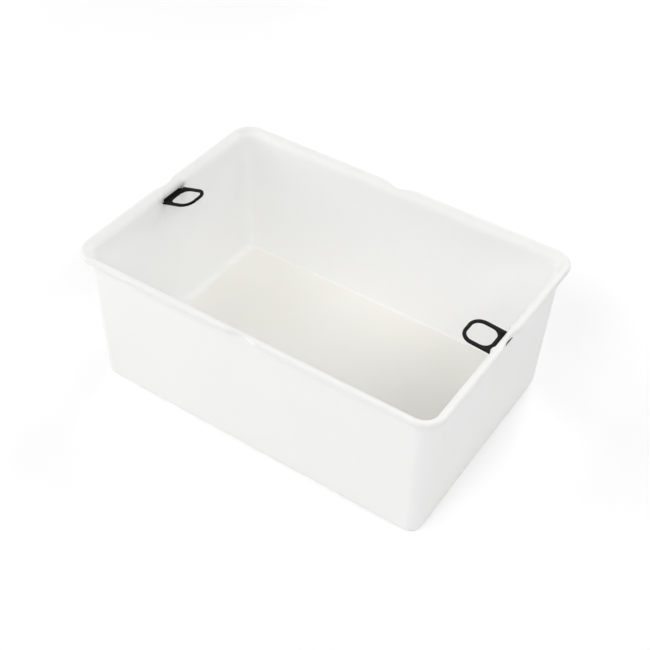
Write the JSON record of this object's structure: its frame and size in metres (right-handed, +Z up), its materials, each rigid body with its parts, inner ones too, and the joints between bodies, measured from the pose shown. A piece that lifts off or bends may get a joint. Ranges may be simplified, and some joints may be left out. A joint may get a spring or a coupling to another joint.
{
  "type": "resin wash station tub",
  "caption": "Rectangular moulded wash tub with a rolled, notched rim and a tilting black finger loop on the inside of each end wall.",
  "frame": {"origin": "middle of the tub's flat underside", "axes": "+X along the tub's length towards the right end wall, +Y towards the back wall, +Z up"},
  "size_m": [0.45, 0.311, 0.181],
  "materials": {
    "tub_plastic": "off-white moulded polypropylene, satin",
    "left_loop_plastic": "black moulded nylon, satin",
    "right_loop_plastic": "black moulded nylon, satin"
  },
  "bodies": {
    "tub": {"tub": "tub_plastic"},
    "left_loop": {"left_loop": "left_loop_plastic"},
    "right_loop": {"right_loop": "right_loop_plastic"}
  },
  "joints": [
    {"name": "left_loop_tilt", "type": "hinge", "parent": "tub", "child": "left_loop", "pos_m": [-0.21431, 0, 0.166], "axis": [0, -1, 0], "range_deg": [-16, 4]},
    {"name": "right_loop_tilt", "type": "hinge", "parent": "tub", "child": "right_loop", "pos_m": [0.21431, 0, 0.166], "axis": [0, 1, 0], "range_deg": [-5, 15]}
  ]
}
